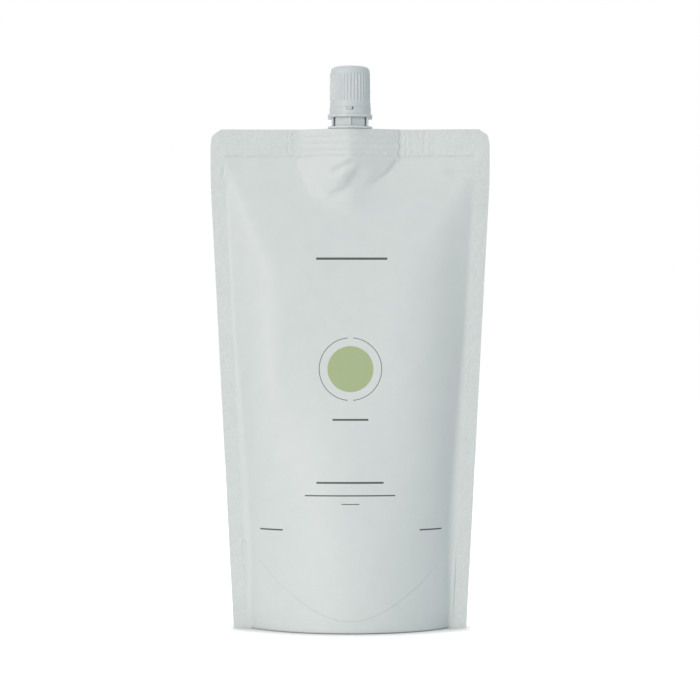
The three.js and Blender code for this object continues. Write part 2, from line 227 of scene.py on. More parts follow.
# Spout: flanges and neck
FLANGE_FRONT = (spout_high[1] - spout_low[1]) / 2
FLANGE_HALF = FLANGE_FRONT + 0.27
FLANGE_BOW = 12.0
LOWER_FLANGE = (POUCH_TOP + GAP, POUCH_TOP + GAP + 0.8)
UPPER_FLANGE = (LOWER_FLANGE[1] + 4.3, LOWER_FLANGE[1] + 5.6)
CORE_HALF = 6.8
CORE_RIDGE = 8.6
CORE_SHOULDER = 5.8
POST_OUTSIDE = FLANGE_HALF - 1.7
POST_THICKNESS = 0.95
POST_DEPTH = 12.0
WEB_DEPTH = 7.6
WING_DROP = 0.95
WING_TAB = 2.0
WING_TAB_INSET = 0.02
WING_BLOCK_DEPTH = 5.2
WING_BLOCK_DROP = 0.3
NECK_RIB_REACH = 9.2
NECK_RIB_WIDTH = 0.92
NECK_RIB_ROOT = 1.2
NECK_RADIUS = 7.4
BEAD_RADIUS = 8.3
BEAD_HEIGHT = 0.9
BEAD_TOP = band_high[2]
MOUTH_TOP = spout_high[2]
MOUTH_CHAMFER = 0.4
TUBE_INSET = 0.4
OVERLAP = 0.2

# Thread: flanks are shares of the pitch from the crest
THREAD_PITCH = 3.0
THREAD_HEIGHT = 0.65
NECK_THREAD_FLANK = (0.30, 0.14)
NECK_THREAD_LOW = BEAD_TOP + 4.5
NECK_THREAD_HIGH = MOUTH_TOP - 1.6
NECK_THREAD_FADE = (0.0, 1.2)
CAP_THREAD_FLANK = (0.28, 0.14)
CAP_THREAD_START = (0.5, 1.5)
CAP_THREAD_END = (5.5, 4.5)
ON_WALL = 0.02

# Tamper band and cap. Unbroken, they show only a hairline where the CAD keeps its clearance.
HAIRLINE = 0.03
BAND_RADIUS = (band_high[0] - band_low[0]) / 2
BAND_BOTTOM = UPPER_FLANGE[1] + HAIRLINE
BAND_LIP = BEAD_RADIUS - 0.4
CAP_BOTTOM, CAP_TOP = cap_low[2] - GAP / 2, cap_high[2]
BAND_TOP = CAP_BOTTOM - HAIRLINE
WINDOW_WIDTH = 3.2
WINDOW_HEIGHT = 1.25
WINDOW_SLANT = 0.42
WINDOW_GAP = 0.12
RATCHET_GAP = 0.45
LUG_ROOT = 0.5
LUG_SINK = 0.12
SKIRT_INSIDE = BEAD_RADIUS + GAP
SKIRT_RADIUS = BAND_RADIUS - 0.08
SKIRT_FLARE = 0.07
SKIRT_TOP = cap_low[2] + 2.4
SKIRT_STEP = 0.1
GRIP_RADIUS = 9.4
GRIP_DRAFT = 0.1
GRIP_FOOT = GRIP_RADIUS + 0.03
GRIP_WALL = 0.2
CAP_INSIDE = 8.45
CAP_CHAMFER = 0.6
SKIRT_CHAMFER = 0.3
CROWN_UNDERSIDE = liner_high[2] + GAP
SHOULDER = 2.6
CROWN_DOME = 0.4
SHOULDER_BOTTOM = CAP_TOP - CROWN_DOME - SHOULDER
GRIP_RIBS = 36
GROOVE_DEPTH = 0.40
GROOVE_FLANK = (0.40, 0.08)
GROOVE_LOW = SKIRT_TOP + 0.6
GROOVE_HIGH = SHOULDER_BOTTOM - 1.1
GROOVE_START = (0.0, 0.4)
GROOVE_END = (0.0, 0.5)

# Rounding of edges and mesh steps of the moulded pieces
EDGE_SHARE = 0.45
RAIL_EDGE = 0.1
POST_EDGE = 0.12
LUG_EDGE = 0.08
COLLAR_EDGE = 0.06
TUBE_EDGE = 0.18
BAND_EDGE = 0.03
CAP_EDGE = 0.04
LINER_EDGE = 0.25
SHARP_TURN = 0.6
SHADE_ANGLE = math.radians(42)
FOOT_POINTS = 201
COLLAR_SEGMENTS = 360
TUBE_STEP = 0.4
TUBE_SEGMENTS = 160
BAND_STEP = 0.2
BAND_SEGMENTS = 1080
CAP_STEP = 0.45
CAP_ARC_POINTS = 9
RIB_SEGMENTS = 12
LINER_SEGMENTS = 96
MERGE_M = 1e-7
FLAT_EDGE_M = 1e-8

# Print on the front film, in film millimetres. A rule has its middle, height, length and thickness.
DISC_AT = (0.2, 120.9)
DISC_RADIUS = 10.6
RING_RADIUS = 14.4
RING_LINE = 0.32
RING_BREAK = (1.2, 1.3)
PRINT_EDGE = 0.05
RULES = (
    (0.8, 172.0, 33.0, 1.1),
    (0.2, 97.6, 16.5, 0.9),
    (0.0, 68.8, 31.0, 0.9),
    (0.0, 62.9, 42.0, 0.6),
    (0.2, 59.0, 8.2, 0.4),
    (-39.5, 46.9, 14.0, 0.7),
    (40.9, 46.9, 14.0, 0.7),
)

# Colours
FILM_COLOUR = (0.672, 0.715, 0.702, 1)
MOULDED_COLOUR = (0.628, 0.671, 0.676, 1)
FOAM_COLOUR = (0.86, 0.86, 0.83, 1)
FOAM_SHADE = (0.80, 0.80, 0.77, 1)
GREEN = (0.384, 0.471, 0.250, 1)
INK = (0.085, 0.090, 0.090, 1)
BLACK = (0, 0, 0, 1)
WHITE = (1, 1, 1, 1)
PATCH_TONE = 0.975

# Grain of the materials: noise scales per millimetre of film or per metre, depths in millimetres
FILM_GRAIN = 2.6
FILM_CLOUD = 0.11
FILM_PEBBLE = 0.45
FILM_GRAIN_DEPTH = 0.018
FILM_CLOUD_DEPTH = 0.25
PEBBLE_DEPTH = 0.4
PEBBLE_EDGE = (-0.15, 0.35)
STITCH_DEPTH = 0.12
STITCH_WIDTH = (0.1, 0.5)
STITCH_BREAKS = (0.35, 0.5)
STITCH_LEAST = 0.4
GUSSET_STEP = 0.14
GUSSET_STEP_HALF = 0.2
GUSSET_STEP_END = (50.0, 42.0)
FRONT_FACE = (0.4, 0.6)
MOULDED_GRAIN = 4200.0
MOULDED_CLOUD = 160.0
MOULDED_GRAIN_DEPTH = 0.004
GLOW = 0.3
GLOW_DEPTH_M = 0.0015
FOAM_CELLS = 2600.0
FOAM_CELL_SIZE = 0.8
FOAM_DEPTH = 0.08
CLOUD_RANGE = (0.3, 0.7)
GRAIN_RANGE = (0.2, 0.8)
FILM_ROUGHNESS = (0.44, 0.54)
MOULDED_ROUGHNESS = (0.40, 0.50)
FOAM_ROUGHNESS = 0.85
SHINE = 0.45

# Floor and light. The fill is slightly cool and the lamps slightly warm, so together they are white.
FLOOR_GRAIN = 900.0
FLOOR_ROUGHNESS = (0.85, 0.95)
FLOOR_GLOW = 0.66
# Painted contact shadow on the floor: within this reach, where the pack hides the open sky, the floor's
# colour and glow are darkened
SHADE_REACH_M = 0.022
SHADE_RAYS = 16
PAINTED_SHADOW_POWER = 2.5
PAINTED_SHADOW_TONE = 0.5
FILL_LEVEL = 0.672
FILL_TINT = (0.93, 1.0, 1.045, 1)
LAMP_TINT = (1.0, 0.90, 0.84)
LAMP_AIM = Vector((0, 0, 0.14))


def smooth(low, high, value):
    """A step from 0 at low to 1 at high, with rounded ends."""
    t = np.clip((value - low) / (high - low), 0, 1)
    return t * t * (3 - 2 * t)


def bump(value, width):
    """A bell of height 1 around zero."""
    return np.exp(-((value / width) ** 2))


def stops(values, spaces):
    """Evenly spaced stops, spaces[i] spaces between values[i] and values[i + 1]."""
    runs = [np.linspace(a, b, n, endpoint=False) for a, b, n in zip(values, values[1:], spaces)]
    return np.concatenate([*runs, values[-1:]])


def fill_depth(height):
    """How far the soap would push the film out in the middle if it turned evenly from seal to seal."""
    straight = (BULGE_TOP - height) / BULGE_TOP
    down = (straight + np.hypot(straight, BULGE_SOFT)) / 2
    most = (1 + math.hypot(1, BULGE_SOFT)) / 2
    start = BULGE_EASE**BULGE_POWER
    share = ((down + BULGE_EASE) ** BULGE_POWER - start) / ((most + BULGE_EASE) ** BULGE_POWER - start)
    return (BASE_HALF_DEPTH - FILM) * share * smooth(0, FLAT_BELOW_SEAL, SEAL_BOTTOM - height)


def film_turn(share, height, left):
    """How far the film has turned back at a place across, against the most it turns.

    Low on the pouch it turns evenly. Higher up its middle stays flat and it turns ever nearer to the seal,
    on the left nearer than on the right.
    """
    level = height / BULGE_TOP
    up = smooth(EDGE_FROM, EDGE_FULL, level)
    low_start = np.where(left, LEFT_START, RIGHT_START)
    low_end = np.where(left, LEFT_END, RIGHT_END)
    late = smooth(low_start + (TOP_START - low_start) * up, low_end + (TOP_END - low_end) * up, share)
    turn = share + (late - share) * smooth(EVEN_BELOW, FLAT_ABOVE, level)
    settle = SETTLE_BASE + (SETTLE_LOW - SETTLE_BASE) * smooth(*SETTLE_DROP, level)
    settle = settle + (SETTLE_HIGH - SETTLE_LOW) * smooth(*SETTLE_RISE, level)
    return turn * (1 - smooth(settle, 1, share))


def film_run(reach, height, most, left):
    """Way to the side and way back that the film makes from the middle as far as reach, along the film."""
    steps = (np.arange(RUN_STEPS) + 0.5) / RUN_STEPS
    share = np.multiply.outer(reach / FILL_HALF, steps)
    turn = most[..., None] * film_turn(share, height[..., None], left[..., None])
    return reach * np.cos(turn).mean(-1), reach * np.sin(turn).mean(-1)


def most_turns(left):
    """Heights, and the most that the film turns there on one side.

    It draws the seals in as far as an even turn would, while its length between the seals stays the same.
    """
    heights = np.linspace(0, POUCH_TOP, LEVEL_STEPS)
    angles = np.linspace(*ANGLE_RANGE, ANGLE_STEPS)
    even = np.interp(fill_depth(heights), FILL_HALF * (1 - np.cos(angles)) / angles, angles)
    widths = FILL_HALF * np.sin(even) / even
    reach = np.full_like(angles, FILL_HALF)
    side = np.full(angles.shape, left)
    turns = []
    for height, width in zip(heights, widths):
        sides = film_run(reach, np.full_like(angles, height), angles, side)[0]
        turns.append(np.interp(-width, -sides, angles))
    return heights, np.array(turns)


LEFT_TURNS = most_turns(True)
RIGHT_TURNS = most_turns(False)


def middle_depth(height, most, left):
    """How deep the film is in the middle if it turns as on one side."""
    return film_run(np.full_like(height, FILL_HALF), height, most, left)[1]


def film_place(across, height):
    """Sideways place of the film, and how far the soap pushes it off the middle plane.

    The left half is made as deep in the middle as the right half, which makes it a little longer than flat.
    """
    reach = np.abs(across)
    filled = np.minimum(reach, FILL_HALF)
    left = across < 0
    right_most = np.interp(height, *RIGHT_TURNS)
    most = np.where(left, np.interp(height, *LEFT_TURNS), right_most)
    side, back = film_run(filled, height, most, left)
    own_depth = middle_depth(height, most, left)
    depth = middle_depth(height, right_most, np.zeros_like(left))
    bulge = np.maximum(0, own_depth - back) * depth / np.maximum(own_depth, TINY)
    return np.sign(across) * (side + reach - filled), bulge


def boat_half(x):
    """Half thickness of the weld foot."""
    u = np.minimum(np.abs(x) / BOAT_HALF, 1)
    fall = (np.hypot(u, BOAT_CREST) - BOAT_CREST) / (math.hypot(1, BOAT_CREST) - BOAT_CREST)
    return BOAT_HALF_THICKNESS + (BOAT_TIP - BOAT_HALF_THICKNESS) * fall


def wrap_depth(across, height, fade=BACK_FADE):
    """How far the weld foot holds the film off the middle plane. Under the seal this fades and spreads."""
    reach = np.abs(across)
    below = np.maximum(0, SEAL_BOTTOM - height)
    spread = WRAP_SPREAD * below
    start = BOAT_HALF + GAP - WRAP_INSET + WRAP_SWAY * np.sin(WRAP_SWAY_RATE * height)
    tail = 1 - smooth(start - spread / 2, start + WRAP_LENGTH + spread, reach)
    return (boat_half(reach) + GAP) * tail * (1 - smooth(0, fade, below))


def least(first, second, blend):
    """The smaller of two heights, with the edge between them rounded."""
    return (first + second - np.hypot(first - second, blend)) / 2


def beside(across, height, start, end):
    """How far along the line from start to end a place is, as a share, and how far to the left of it."""
    length = math.dist(start, end)
    run = np.subtract(end, start) / length
    x, y = across - start[0], height - start[1]
    return (x * run[0] + y * run[1]) / length, y * run[0] - x * run[1]


def front_wedge(across, height):
    """How the front film leaves the weld foot, with a dent that a fold from the foot's right end cuts off."""
    below = SEAL_BOTTOM - height
    whole = wrap_depth(across, height, FRONT_FADE)
    past_fold = FOLD_RADIUS - np.hypot(across - FOLD_MIDDLE[0], height - FOLD_MIDDLE[1])
    step = FOLD_STEP * smooth(*FOLD_HEIGHTS, height) * smooth(*FOLD_WIDTH, past_fold)
    left = beside(across, height, FOLD_END, FOLD_START)[1]
    facet = step + FOLD_SLOPE * np.maximum(0, left)
    dented = np.maximum(0, least(whole, facet, FOLD_BLEND))
    return whole + (dented - whole) * smooth(*DENT_TOP, below) * smooth(*DENT_BOTTOM, below)


def film_face(bulge, wedge):
    """Outer face of the film off the middle plane, pushed out by the soap and by the weld foot."""
    return FILM + np.cbrt(bulge**3 + wedge**3)


def gusset_seal(across):
    """Height of the curved bottom seal on the front and back films."""
    return GUSSET_RISE + GUSSET_SLOPE * (np.hypot(GUSSET_ROUND, across) - GUSSET_ROUND)


def gusset_height(across, share):
    """Height of the gusset a share of the way from its middle fold to the films.

    An oval belly in the middle lies on the floor.
    """
    from_middle = 1 - (1 - (across / FILL_HALF) ** 2) * (1 - share**2)
    past_belly = np.clip((from_middle - BELLY_SHARE**2) / (1 - BELLY_SHARE**2), 0, 1)
    return gusset_seal(across) * past_belly**BELLY_POWER


def top_edge(across):
    """Height of the film's top edge, with its punched corners."""
    out = np.clip(np.abs(across) - (FILM_HALF - CORNER_WIDTH), 0, CORNER_WIDTH) / CORNER_WIDTH
    knee = 1 - CORNER_BEND
    chamfer = CORNER_BEND * out / knee
    rest = np.clip((out - knee) / CORNER_BEND, 0, 1)
    curve = CORNER_BEND + (1 - CORNER_BEND) * (1 - np.sqrt(np.maximum(0, 1 - rest**CORNER_POWER)))
    return POUCH_TOP - CORNER_HEIGHT * np.where(out < knee, chamfer, curve)


def crease(across, height, start, end, before, after, depth):
    """A valley from start to end. before and after are its widths on the left and right of the way."""
    along, left = beside(across, height, start, end)
    reach = smooth(*CREASE_START, along) * smooth(*CREASE_END, along)
    valley = np.where(left > 0, smooth(before, 0, left), smooth(-after, 0, left))
    return -depth * reach * valley


def seal_wrinkle(across, height, middle, depth):
    """A wavy upright wrinkle across the top seal."""
    line = middle + WRINKLE_SWAY * np.sin(WRINKLE_SWAY_RATE * height + middle)
    in_seal = smooth(*WRINKLE_FOOT, height - SEAL_BOTTOM) * smooth(*WRINKLE_HEAD, POUCH_TOP - height)
    ridge = bump(across - line - WRINKLE_STEP, WRINKLE_WIDTH)
    return depth * in_seal * (ridge - bump(across - line, WRINKLE_WIDTH))


def folds(across, height, creases, wrinkles):
    """All creases and seal wrinkles of one film, outward."""
    out = sum(crease(across, height, *values) for values in creases)
    return out + sum(seal_wrinkle(across, height, *values) for values in wrinkles)


def front_relief(across, height):
    """Folds and dents of the front film, outward."""
    from_pillow = np.hypot(across - PILLOW_AT[0], (height - PILLOW_AT[1]) * PILLOW_SQUASH)
    pillow = PILLOW_HEIGHT * bump(from_pillow, PILLOW_WIDTH)
    return folds(across, height, FRONT_CREASES, FRONT_WRINKLES) + pillow


def back_relief(across, height):
    """Folds and dents of the back film, outward."""
    return folds(across, height, BACK_CREASES, BACK_WRINKLES)


def rib_bottom(rib):
    """Height of the lower edge of a weld rib."""
    return BOAT_BOTTOM + WELD_RIB_SPACE + rib * (WELD_RIB_SPACE + WELD_RIB_HEIGHT)


def shared_relief(across, height):
    """What both films carry: weld ribs over the foot, the edges of the seals and slack in the film."""
    reach = np.abs(across)
    from_side = FILL_HALF - reach
    from_top = SEAL_BOTTOM - height
    on_foot = smooth(*RIB_SHOW_END, BOAT_HALF - reach)
    out = np.zeros_like(height)
    for rib in range(WELD_RIBS):
        above = smooth(0, RIB_SHOW_EDGE, height - rib_bottom(rib))
        under = smooth(0, RIB_SHOW_EDGE, rib_bottom(rib) + WELD_RIB_HEIGHT - height)
        out += RIB_SHOW * on_foot * above * under
    side_line = bump(SEAL_LINE_INSET - from_side, SIDE_LINE_WIDTH) * smooth(0, SEAL_LINE_END, from_top)
    top_line = bump(SEAL_LINE_INSET - from_top, TOP_LINE_WIDTH) * smooth(0, SEAL_LINE_END, from_side)
    out -= SIDE_LINE_DEPTH * side_line + TOP_LINE_DEPTH * top_line
    sway = SLACK_SWAY * np.sin(height * SLACK_SWAY_RATE)
    slack = np.sin(across * SLACK_RATE[0] + sway) * np.sin(height * SLACK_RATE[1] + SLACK_SHIFT)
    return out + SLACK_DEPTH * slack * smooth(*SLACK_FROM_SIDE, from_side) * smooth(*SLACK_FROM_TOP, from_top)


def film_wave(across, height):
    """Slight waving of the flat seals and lean of the top corners, front and back together."""
    reach = np.abs(across)
    at_side = smooth(-WAVE_EDGE, 0, reach - FILL_HALF) * smooth(0, WAVE_FOOT, height)
    wave = WAVE_DEPTH * at_side * np.sin(height * WAVE_RATE + np.sign(across) * WAVE_SHIFT)
    at_corner = smooth(-LEAN_HEIGHT, 0, height - SEAL_BOTTOM) * smooth(BOAT_HALF, FILM_HALF, reach)
    return wave - at_corner * np.where(across > 0, RIGHT_LEAN, LEFT_LEAN)


def rim_curl(across, height):
    """How far the cut bottom edge of the film curls in under the pouch."""
    curl = np.clip(1 - height / RIM_CURL_HEIGHT, 0, 1) ** 2
    return RIM_CURL * curl * smooth(0, RIM_CURL_END, FILL_HALF - np.abs(across))


def pouch_columns():
    """Places across the film, closest at the ends of the weld foot and beside the seals."""
    half = stops(COLUMN_STOPS, COLUMN_SPACES)
    return np.concatenate([-half[:0:-1], half])


def pouch_rows(columns):
    """Heights on each column: level up to the top seal, then spread evenly to the top edge."""
    level = stops(ROW_STOPS, ROW_SPACES)
    up = stops((0, 1), (SEAL_SPACES,))[1:]
    in_seal = SEAL_BOTTOM + (top_edge(columns[:, None]) - SEAL_BOTTOM) * up
    return np.concatenate([np.broadcast_to(level, (len(columns), len(level))), in_seal], axis=1)


def film_half(columns, rows, place, side):
    """The front film (side -1) or the back film, from its rim to the pocket that holds the weld foot."""
    across = np.broadcast_to(columns[:, None], rows.shape)
    wedge, relief = (front_wedge, front_relief) if side < 0 else (wrap_depth, back_relief)
    x, bulge = place
    crumple = (shared_relief(across, rows) + relief(across, rows)) * smooth(0, RELIEF_FOOT, rows)
    off = film_face(bulge, wedge(across, rows)) + crumple - rim_curl(across, rows)
    film = np.stack([x, side * off + film_wave(across, rows), rows], axis=-1)
    edge = film[:, -1]
    in_pocket = np.abs(columns[:, None]) < BOAT_HALF + GAP
    lip = np.where(in_pocket, edge - np.array([0, side * FILM, 0]), edge)
    pocket = np.where(in_pocket, lip - np.array([0, 0, POCKET_DEPTH]), edge)
    return np.concatenate([film, lip[:, None], pocket[:, None]], axis=1)


def gusset_half(columns, rim, side):
    """Half of the bottom gusset, from its middle fold to the inside of the film's rim."""
    across = columns[:, None]
    shares = stops(GUSSET_STOPS, GUSSET_SPACES)
    inside = np.abs(across) < FILL_HALF - TINY
    seal_x, seal_bulge = film_place(columns, gusset_seal(columns))
    y = np.where(inside, side * shares * (seal_bulge - FILM)[:, None], rim[:, 1:2])
    x = np.broadcast_to(np.where(inside, seal_x[:, None], rim[:, :1]), y.shape)
    z = np.where(inside, gusset_height(across, shares), 0)
    rim_inside = np.where(inside, rim - np.array([0, side * 2 * FILM, 0]), rim)
    return np.concatenate([np.stack([x, y, z], axis=-1), rim_inside[:, None]], axis=1)


def flat_places(columns, rows):
    """Where each point lies on the flat film: across, height, and 1 on the front or -1 on the back film.

    The gusset's points, first in a half, and the two of the pocket, last in it, are on neither.
    """
    under = sum(GUSSET_SPACES) + 2
    edge = rows[:, -1:]
    heights = np.concatenate([np.zeros((len(columns), under)), rows, edge, edge], axis=1)
    across = np.broadcast_to(columns[:, None], heights.shape)
    face = np.concatenate([np.zeros(under), np.ones(rows.shape[1]), np.zeros(2)])
    front = np.stack([across, heights, np.broadcast_to(face, heights.shape)], axis=-1)
    back = front * np.array([1, 1, -1])
    return np.concatenate([front, back[:, ::-1]], axis=1)


def pouch_mesh():
    """The pouch as one skin: each column across the film is a closed section, front and back."""
    columns = pouch_columns()
    rows = pouch_rows(columns)
    place = film_place(np.broadcast_to(columns[:, None], rows.shape), rows)
    halves = []
    for side in (-1, 1):
        film = film_half(columns, rows, place, side)
        gusset = gusset_half(columns, film[:, 0], side)
        halves.append(np.concatenate([gusset, film], axis=1))
    section = np.concatenate([halves[0], halves[1][:, ::-1]], axis=1)
    faces = grid_faces(*section.shape[:2], wrap_columns=True)
    n = section.shape[1]
    for start in (0, (len(columns) - 1) * n):
        for k in range(n // 2 - 1):
            faces.append((start + k, start + k + 1, start + n - 2 - k, start + n - 1 - k))
    return section.reshape(-1, 3), faces, flat_places(columns, rows).reshape(-1, 3)


def grid_faces(rows, columns, wrap_rows=False, wrap_columns=False):
    """Quads over a grid of points, which may close on itself either way."""
    faces = []
    for i in range(rows if wrap_rows else rows - 1):
        for j in range(columns if wrap_columns else columns - 1):
            right = (j + 1) % columns
            below = (i + 1) % rows
            faces.append((i * columns + j, i * columns + right, below * columns + right, below * columns + j))
    return faces


def softened(corners, radius, steps=4, closed=True):
    """A profile with each corner rounded by about that radius."""
    points = []
    count = len(corners)
    for i, corner in enumerate(corners):
        here = np.array(corner, float)
        if not closed and i in (0, count - 1):
            points.append(here)
            continue
        before = np.array(corners[i - 1], float) - here
        after = np.array(corners[(i + 1) % count], float) - here
        start = here + before * min(radius / np.hypot(*before), EDGE_SHARE)
        end = here + after * min(radius / np.hypot(*after), EDGE_SHARE)
        for t in np.linspace(0, 1, steps + 1):
            points.append((1 - t) ** 2 * start + 2 * t * (1 - t) * here + t * t * end)
    return points


def resampled(points, longest, closed=True):
    """A profile with no step longer than that."""
    ring = [*points, points[0]] if closed else points
    out = []
    for a, b in zip(ring, ring[1:]):
        count = max(1, math.ceil(np.hypot(*(b - a)) / longest))
        out += [a + (b - a) * k / count for k in range(count)]
    return out if closed else [*out, points[-1]]


def turned(profile, segments, shape=None, closed=True):
    """A profile turned about Z. shape(angle, radius, height) gives the radius and height to use."""
    profile = np.array(profile)
    angle = np.arange(segments) * 2 * math.pi / segments
    radius = np.broadcast_to(profile[:, :1], (len(profile), segments))
    height = np.broadcast_to(profile[:, 1:], (len(profile), segments))
    if shape:
        radius, height = shape(np.broadcast_to(angle, radius.shape), radius, height)
    points = np.stack([radius * np.cos(angle), radius * np.sin(angle), height], axis=-1)
    return points.reshape(-1, 3), grid_faces(len(profile), segments, wrap_rows=closed, wrap_columns=True)


def prism(outline, bottom, top, bevel):
    """An outline in plan raised between two heights, with its edges rounded."""
    bm = bmesh.new()
    base = [bm.verts.new((x, y, bottom)) for x, y in outline]
    face = bm.faces.new(base)
    raised = bmesh.ops.extrude_face_region(bm, geom=[face])
    moved = [v for v in raised["geom"] if isinstance(v, bmesh.types.BMVert)]
    bmesh.ops.translate(bm, verts=moved, vec=(0, 0, top - bottom))
    bmesh.ops.recalc_face_normals(bm, faces=bm.faces)
    sharp = [e for e in bm.edges if len(e.link_faces) == 2 and e.calc_face_angle() > SHARP_TURN]
    bmesh.ops.bevel(bm, geom=sharp, offset=bevel, segments=2, profile=0.5, affect="EDGES", clamp_overlap=True)
    bm.verts.index_update()
    points = np.array([v.co[:] for v in bm.verts])
    faces = [tuple(v.index for v in f.verts) for f in bm.faces]
    bm.free()
    return points, faces


def rectangle(x, y, width, depth):
    """Corners of a rectangle in plan."""
    w, d = width / 2, depth / 2
    return [(x - w, y - d), (x + w, y - d), (x + w, y + d), (x - w, y + d)]


def joined(*shells):
    """Several shells as one."""
    points, faces = [], []
    for shell_points, shell_faces in shells:
        start = sum(len(p) for p in points)
        points.append(shell_points)
        faces += [tuple(start + i for i in f) for f in shell_faces]
    return np.concatenate(points), faces


def flange_reach(angle):
    """Way from the middle to the edge of the oval, flat-sided flanges."""
    shift = FLANGE_BOW - FLANGE_FRONT
    up = np.abs(np.sin(angle))
    oval = np.sqrt((shift * up) ** 2 + FLANGE_BOW**2 - shift**2) - shift * up
    return np.minimum(oval, FLANGE_HALF / np.maximum(np.abs(np.cos(angle)), TINY))


def core_reach(angle):
    """Way from the middle to the faces of the six-sided core."""
    out, up = np.abs(np.cos(angle)), np.abs(np.sin(angle))
    front = CORE_RIDGE / (up + out * (CORE_RIDGE - CORE_SHOULDER) / CORE_HALF)
    return np.minimum(front, CORE_HALF / np.maximum(out, TINY))


def foot_reach(inset):
    """Way from the middle to the faces of the canoe-shaped foot, as a function of the angle."""
    x = np.linspace(BOAT_HALF, -BOAT_HALF, FOOT_POINTS)
    y = boat_half(x) - inset
    turns, reaches = np.arctan2(y, x), np.hypot(x, y)

    def reach(angle):
        fold = np.abs(np.mod(angle + math.pi, 2 * math.pi) - math.pi)
        flat = BOAT_HALF / np.maximum(np.abs(np.cos(angle)), TINY)
        return np.minimum(np.interp(fold, turns, reaches), flat)

    return reach


def collar(bottom, top, reach):
    """A plate round the bore. reach(angle) gives its edge."""
    width = 1.0
    corners = [(BORE, bottom), (BORE + width, bottom), (BORE + width, top), (BORE, top)]

    def spread(angle, radius, height):
        return BORE + (radius - BORE) * (reach(angle) - BORE) / width, height

    return turned(softened(corners, COLLAR_EDGE, steps=3), COLLAR_SEGMENTS, spread)


def thread_ridge(angle, height, start, flank):
    """1 on the crest of a right-hand thread and 0 between its turns."""
    turn = (height - start) / THREAD_PITCH - angle / (2 * math.pi)
    return smooth(*flank, np.abs(turn - np.round(turn)))


def spout_tube():
    """Foot tube, core between the flanges and the threaded neck, with the bore."""
    foot = BOAT_HALF_THICKNESS - WELD_RIB_DEPTH
    core = CORE_HALF - TUBE_INSET
    core_top = UPPER_FLANGE[0] + OVERLAP
    corners = [
        (BORE, BOAT_BOTTOM),
        (foot, BOAT_BOTTOM),
        (foot, LOWER_FLANGE[0]),
        (core, LOWER_FLANGE[0]),
        (core, core_top),
        (NECK_RADIUS, core_top),
        (NECK_RADIUS, BEAD_TOP - BEAD_HEIGHT),
        (BEAD_RADIUS, BEAD_TOP - BEAD_HEIGHT),
        (BEAD_RADIUS, BEAD_TOP - BEAD_HEIGHT / 2),
        (NECK_RADIUS, BEAD_TOP),
        (NECK_RADIUS, MOUTH_TOP - MOUTH_CHAMFER),
        (NECK_RADIUS - MOUTH_CHAMFER, MOUTH_TOP),
        (BORE + MOUTH_CHAMFER, MOUTH_TOP),
        (BORE, MOUTH_TOP - MOUTH_CHAMFER),
    ]

    def threaded(angle, radius, height):
        ridge = thread_ridge(angle, height, NECK_THREAD_LOW, NECK_THREAD_FLANK)
        start = smooth(*NECK_THREAD_FADE, height - NECK_THREAD_LOW)
        end = smooth(*NECK_THREAD_FADE, NECK_THREAD_HIGH - height)
        on_wall = np.abs(radius - NECK_RADIUS) < ON_WALL
        return radius + THREAD_HEIGHT * ridge * start * end * on_wall, height

    return turned(resampled(softened(corners, TUBE_EDGE), TUBE_STEP), TUBE_SEGMENTS, threaded)


def weld_foot():
    """Canoe-shaped foot with level weld ribs, and a lip that meets the film's edge."""
    shells = [collar(BOAT_BOTTOM, BOAT_TOP - WELD_LIP / 2, foot_reach(WELD_RIB_DEPTH))]
    for rib in range(WELD_RIBS):
        shells.append(collar(rib_bottom(rib), rib_bottom(rib) + WELD_RIB_HEIGHT, foot_reach(0)))
    shells.append(collar(BOAT_TOP - WELD_LIP, BOAT_TOP, foot_reach(HAIRLINE - GAP)))
    return joined(*shells)


def ratchet_lug(sign):
    """Lug on the neck that fills its window of the band but for a gap, wider at the slanted end."""
    floor = BAND_TOP - WINDOW_HEIGHT + WINDOW_GAP
    left = WINDOW_GAP - WINDOW_WIDTH / 2
    right = WINDOW_WIDTH / 2 - RATCHET_GAP
    low_right = right - WINDOW_SLANT * (BAND_TOP - floor) / WINDOW_HEIGHT
    outline = [(left, floor), (low_right, floor), (right, BAND_TOP), (left, BAND_TOP)]
    points, faces = prism(outline, NECK_RADIUS - LUG_ROOT, BAND_RADIUS - LUG_SINK, LUG_EDGE)
    x, z, y = points.T
    return np.stack([-sign * x, sign * y, z], axis=-1), faces


def wing_tab(side, face, drop):
    """Tab that hangs from the upper flange along its edge, at one end."""
    x = np.linspace(POST_OUTSIDE, FLANGE_HALF, 4)
    edge = np.sqrt(FLANGE_BOW**2 - x**2) - (FLANGE_BOW - FLANGE_FRONT) - WING_TAB_INSET
    outline = [*zip(side * x, face * edge), *zip(side * x[::-1], face * (edge - WING_TAB)[::-1])]
    return prism(outline, UPPER_FLANGE[0] - drop, UPPER_FLANGE[0] + OVERLAP, RAIL_EDGE)


def rail(inner, outer, depth, heights, bevel, sign):
    """Upright block on the left or right of the neck, between two places across."""
    return prism(rectangle(sign * (inner + outer) / 2, 0, outer - inner, depth), *heights, bevel)


def neck_rib(sign, heights):
    """Upright rib on the front or back of the core."""
    length = NECK_RIB_REACH - CORE_RIDGE + NECK_RIB_ROOT
    middle = NECK_RIB_REACH - length / 2
    return prism(rectangle(0, sign * middle, NECK_RIB_WIDTH, length), *heights, RAIL_EDGE)


